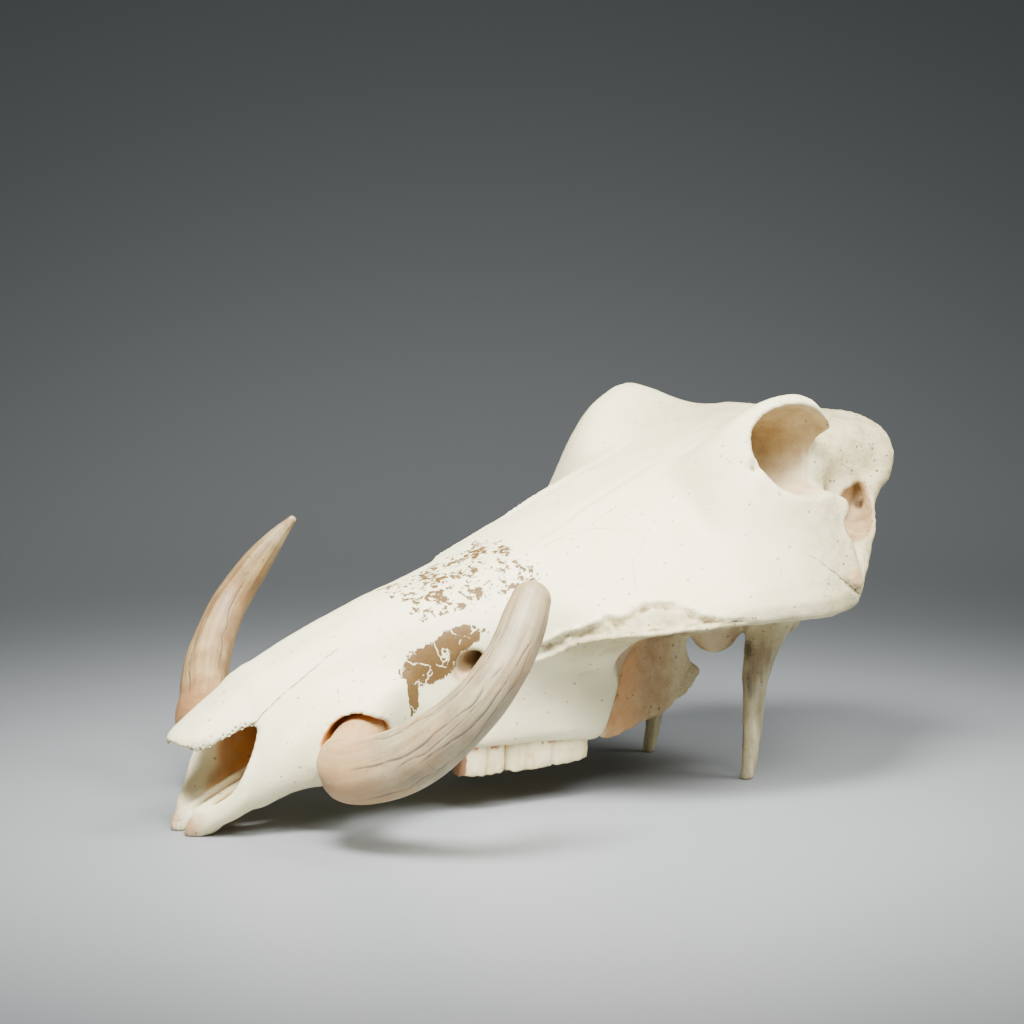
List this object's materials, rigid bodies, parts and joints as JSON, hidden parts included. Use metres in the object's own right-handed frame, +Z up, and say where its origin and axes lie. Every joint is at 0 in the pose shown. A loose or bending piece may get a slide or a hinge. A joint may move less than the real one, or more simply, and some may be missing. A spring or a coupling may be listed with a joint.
{
  "type": "warthog skull",
  "caption": "Warthog skull without its lower jaw, with long curved upper tusks, cheek teeth, eye sockets and flared cheek bones.",
  "frame": {"origin": "on the surface it stands on, under the middle of the skull's box", "axes": "+Z up, +X to the animal's left, the snout points along -Y"},
  "size_m": [0.2943, 0.4033, 0.2045],
  "materials": {
    "bone": "dry cream-white bone, chalky on the snout, yellowed and pitted at the back",
    "ivory": "worn grey-beige ivory with lengthwise cracks",
    "enamel": "yellowed tooth, cement between the ridges"
  },
  "bodies": {
    "root": {"cranium": "bone", "tusk_left": "ivory", "tusk_right": "ivory", "second_molar_left": "enamel", "second_molar_right": "enamel", "third_molar_left": "enamel", "third_molar_right": "enamel"}
  },
  "joints": []
}
